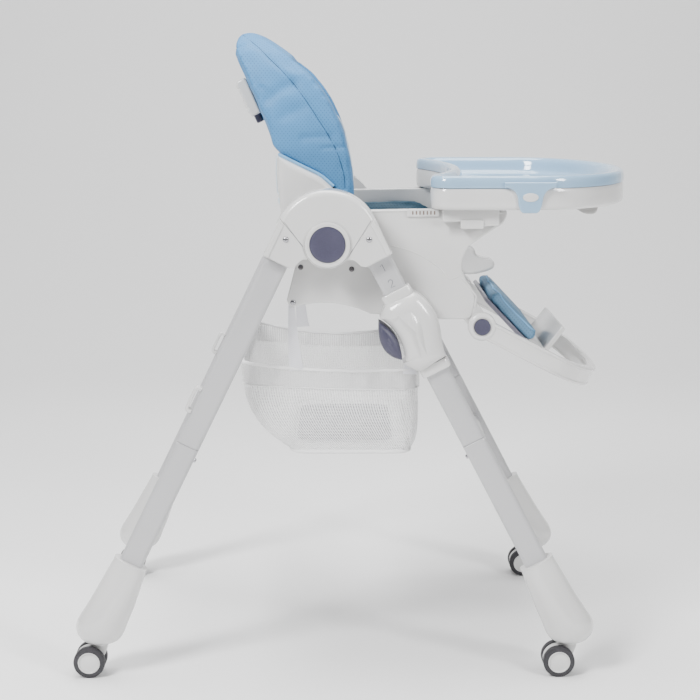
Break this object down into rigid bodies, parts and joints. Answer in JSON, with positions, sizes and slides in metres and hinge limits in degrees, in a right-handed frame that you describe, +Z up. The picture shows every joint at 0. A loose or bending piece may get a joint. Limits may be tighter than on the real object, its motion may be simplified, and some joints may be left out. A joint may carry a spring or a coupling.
{
  "type": "baby high chair",
  "caption": "Folding baby high chair: height-adjustable reclining seat with padded cover, leg rest, sliding tray, hanging basket and swivel casters.",
  "frame": {"origin": "on the floor, under the middle of the chair's outline", "axes": "+X towards the front, where the tray and leg rest are; +Y to the seated child's left; +Z up"},
  "size_m": [0.8932, 0.5816, 1.0143],
  "materials": {
    "painted tube": "satin",
    "white shell": "gloss",
    "grey control": "satin",
    "blue tray": "gloss",
    "blue leatherette": "satin",
    "basket mesh": "matte",
    "tyre": "matte"
  },
  "bodies": {
    "front_frame": {"front_leg_upper_l": "painted tube", "front_leg_upper_r": "painted tube", "front_leg_lower_l": "painted tube", "front_leg_lower_r": "painted tube", "front_cross_tube": "painted tube", "hub_dome_l": "white shell", "hub_dome_r": "white shell", "hub_front_socket_l": "white shell", "hub_front_socket_r": "white shell", "foot_front_l": "white shell", "foot_front_r": "white shell"},
    "rear_frame": {"rear_leg_upper_l": "painted tube", "rear_leg_upper_r": "painted tube", "rear_leg_lower_l": "painted tube", "rear_leg_lower_r": "painted tube", "rear_cross_tube": "painted tube", "hub_rear_socket_l": "white shell", "hub_rear_socket_r": "white shell", "foot_rear_l": "white shell", "foot_rear_r": "white shell"},
    "seat": {"slider_housing_l": "white shell", "slider_housing_r": "white shell", "side_panel_l": "white shell", "side_panel_r": "white shell", "seat_pan": "white shell", "seat_cushion": "blue leatherette", "crotch_post": "white shell", "basket": "basket mesh"},
    "backrest": {"backrest_shell": "white shell", "back_cushion": "blue leatherette", "recline_handle": "white shell"},
    "recline_trigger": {"recline_trigger": "grey control"},
    "legrest": {"legrest_hoop": "white shell", "foot_plate": "white shell", "calf_pad": "blue leatherette"},
    "legrest_button_left": {"legrest_button_l": "grey control"},
    "legrest_button_right": {"legrest_button_r": "grey control"},
    "tray": {"tray_base": "white shell"},
    "tray_top": {"tray_top": "blue tray"},
    "tray_lever": {"tray_lever": "grey control"},
    "hub_button_left": {"hub_button_l": "grey control"},
    "hub_button_right": {"hub_button_r": "grey control"},
    "slider_button_left": {"slider_button_l": "grey control"},
    "slider_button_right": {"slider_button_r": "grey control"},
    "caster_front_left": {"caster_hood_front_l": "white shell"},
    "wheels_front_left": {"caster_wheels_front_l": "white shell", "tyre_front_l_outer": "tyre", "tyre_front_l_inner": "tyre"},
    "caster_front_right": {"caster_hood_front_r": "white shell"},
    "wheels_front_right": {"caster_wheels_front_r": "white shell", "tyre_front_r_outer": "tyre", "tyre_front_r_inner": "tyre"},
    "caster_rear_left": {"caster_hood_rear_l": "white shell"},
    "wheels_rear_left": {"caster_wheels_rear_l": "white shell", "tyre_rear_l_outer": "tyre", "tyre_rear_l_inner": "tyre"},
    "caster_rear_right": {"caster_hood_rear_r": "white shell"},
    "wheels_rear_right": {"caster_wheels_rear_r": "white shell", "tyre_rear_r_outer": "tyre", "tyre_rear_r_inner": "tyre"}
  },
  "joints": [
    {"name": "fold", "type": "hinge", "parent": "front_frame", "child": "rear_frame", "pos_m": [-0.04142, 0, 0.692], "axis": [0, -1, 0], "range_deg": [0, 50]},
    {"name": "seat_height", "type": "slide", "parent": "front_frame", "child": "seat", "axis": [-0.4617, 0, 0.887], "range_m": [-0.115, 0.05]},
    {"name": "recline", "type": "hinge", "parent": "seat", "child": "backrest", "pos_m": [-0.04942, 0, 0.652], "axis": [0, -1, 0], "range_deg": [-10, 25]},
    {"name": "legrest_swing", "type": "hinge", "parent": "seat", "child": "legrest", "pos_m": [0.19859, 0, 0.559], "axis": [0, 1, 0], "range_deg": [-20, 40]},
    {"name": "tray_slide", "type": "slide", "parent": "seat", "child": "tray", "axis": [1, 0, 0], "range_m": [-0.04, 0.09]},
    {"name": "tray_top_lift", "type": "slide", "parent": "tray", "child": "tray_top", "axis": [0, 0, 1], "range_m": [0, 0.05]},
    {"name": "tray_lever_pull", "type": "slide", "parent": "tray", "child": "tray_lever", "axis": [1, 0, 0], "range_m": [0, 0.006], "stiffness_N_per_m": 400, "springref_m": -0.002},
    {"name": "recline_trigger_squeeze", "type": "slide", "parent": "backrest", "child": "recline_trigger", "axis": [-0.4179, 0, 0.9085], "range_m": [0, 0.005], "stiffness_N_per_m": 400, "springref_m": -0.002},
    {"name": "hub_button_press_left", "type": "slide", "parent": "front_frame", "child": "hub_button_left", "axis": [0, -1, 0], "range_m": [0, 0.004], "stiffness_N_per_m": 400, "springref_m": -0.002},
    {"name": "slider_button_press_left", "type": "slide", "parent": "seat", "child": "slider_button_left", "axis": [0.887, 0, 0.4617], "range_m": [0, 0.004], "stiffness_N_per_m": 400, "springref_m": -0.002},
    {"name": "legrest_button_press_left", "type": "slide", "parent": "legrest", "child": "legrest_button_left", "axis": [0, -1, 0], "range_m": [0, 0.003], "stiffness_N_per_m": 300, "springref_m": -0.002},
    {"name": "hub_button_press_right", "type": "slide", "parent": "front_frame", "child": "hub_button_right", "axis": [0, 1, 0], "range_m": [0, 0.004], "stiffness_N_per_m": 400, "springref_m": -0.002},
    {"name": "slider_button_press_right", "type": "slide", "parent": "seat", "child": "slider_button_right", "axis": [0.887, 0, 0.4617], "range_m": [0, 0.004], "stiffness_N_per_m": 400, "springref_m": -0.002},
    {"name": "legrest_button_press_right", "type": "slide", "parent": "legrest", "child": "legrest_button_right", "axis": [0, 1, 0], "range_m": [0, 0.003], "stiffness_N_per_m": 300, "springref_m": -0.002},
    {"name": "caster_front_left_swivel", "type": "hinge", "parent": "front_frame", "child": "caster_front_left", "pos_m": [0.34231, 0.258, 0.04], "axis": [0, 0, 1], "continuous": true},
    {"name": "wheels_front_left_roll", "type": "hinge", "parent": "caster_front_left", "child": "wheels_front_left", "pos_m": [0.32531, 0.258, 0.025], "axis": [0, 1, 0], "continuous": true},
    {"name": "caster_front_right_swivel", "type": "hinge", "parent": "front_frame", "child": "caster_front_right", "pos_m": [0.34231, -0.258, 0.04], "axis": [0, 0, 1], "continuous": true},
    {"name": "wheels_front_right_roll", "type": "hinge", "parent": "caster_front_right", "child": "wheels_front_right", "pos_m": [0.32531, -0.258, 0.025], "axis": [0, 1, 0], "continuous": true},
    {"name": "caster_rear_left_swivel", "type": "hinge", "parent": "rear_frame", "child": "caster_rear_left", "pos_m": [-0.40458, 0.258, 0.04], "axis": [0, 0, 1], "continuous": true},
    {"name": "wheels_rear_left_roll", "type": "hinge", "parent": "caster_rear_left", "child": "wheels_rear_left", "pos_m": [-0.42158, 0.258, 0.025], "axis": [0, 1, 0], "continuous": true},
    {"name": "caster_rear_right_swivel", "type": "hinge", "parent": "rear_frame", "child": "caster_rear_right", "pos_m": [-0.40458, -0.258, 0.04], "axis": [0, 0, 1], "continuous": true},
    {"name": "wheels_rear_right_roll", "type": "hinge", "parent": "caster_rear_right", "child": "wheels_rear_right", "pos_m": [-0.42158, -0.258, 0.025], "axis": [0, 1, 0], "continuous": true}
  ]
}
